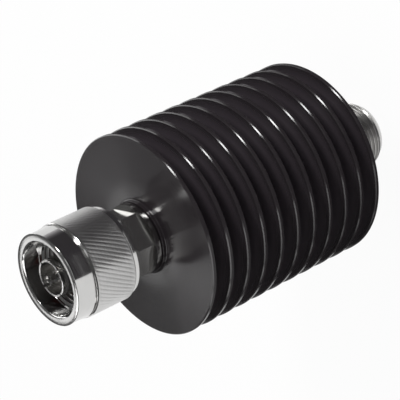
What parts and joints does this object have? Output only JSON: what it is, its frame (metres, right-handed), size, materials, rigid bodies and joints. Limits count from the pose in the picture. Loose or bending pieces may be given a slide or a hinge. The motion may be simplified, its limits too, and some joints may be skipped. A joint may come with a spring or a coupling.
{
  "type": "inline coaxial attenuator",
  "caption": "Inline coaxial attenuator with a round finned heat sink, a knurled coupling-nut plug at one end and a threaded jack at the other.",
  "frame": {"origin": "centre of the jack's end face, on which the part stands", "axes": "+Z along the coaxial axis from the jack's end to the plug's mouth; a hexagon corner of each connector lies on +X"},
  "size_m": [0.0444, 0.0444, 0.09],
  "materials": {
    "black_anodised": "turned and black anodised",
    "nickel_plate": "nickel plated, turned",
    "bright_nickel": "bright nickel plated, knurled",
    "silver_plate": "silver plated",
    "spring_steel": "plain",
    "white_plastic": "machined fluoropolymer",
    "silicone": "moulded",
    "rubber": "moulded",
    "bare_aluminium": "machined",
    "ceramic": "fired, with a printed resistive film"
  },
  "bodies": {
    "attenuator": {"heat_sink": "black_anodised", "plug_body": "nickel_plate", "plug_outer_contact": "silver_plate", "plug_insulator": "white_plastic", "plug_centre_pin": "silver_plate", "plug_gasket": "silicone", "plug_o_ring": "rubber", "nut_snap_ring": "spring_steel", "jack_body": "nickel_plate", "jack_insulator": "white_plastic", "jack_bead_retainer": "nickel_plate", "jack_centre_socket": "silver_plate", "jack_o_ring": "rubber", "carrier_half_front": "bare_aluminium", "carrier_half_back": "bare_aluminium", "carrier_dowel_jack_end": "spring_steel", "carrier_dowel_plug_end": "spring_steel", "attenuator_card": "ceramic", "card_terminal_jack_end": "silver_plate", "card_terminal_plug_end": "silver_plate"},
    "nut": {"coupling_nut": "bright_nickel"}
  },
  "joints": [
    {"name": "coupling_nut_turn", "type": "hinge", "parent": "attenuator", "child": "nut", "pos_m": [0, 0, 0.0744], "axis": [0, 0, 1], "continuous": true}
  ]
}
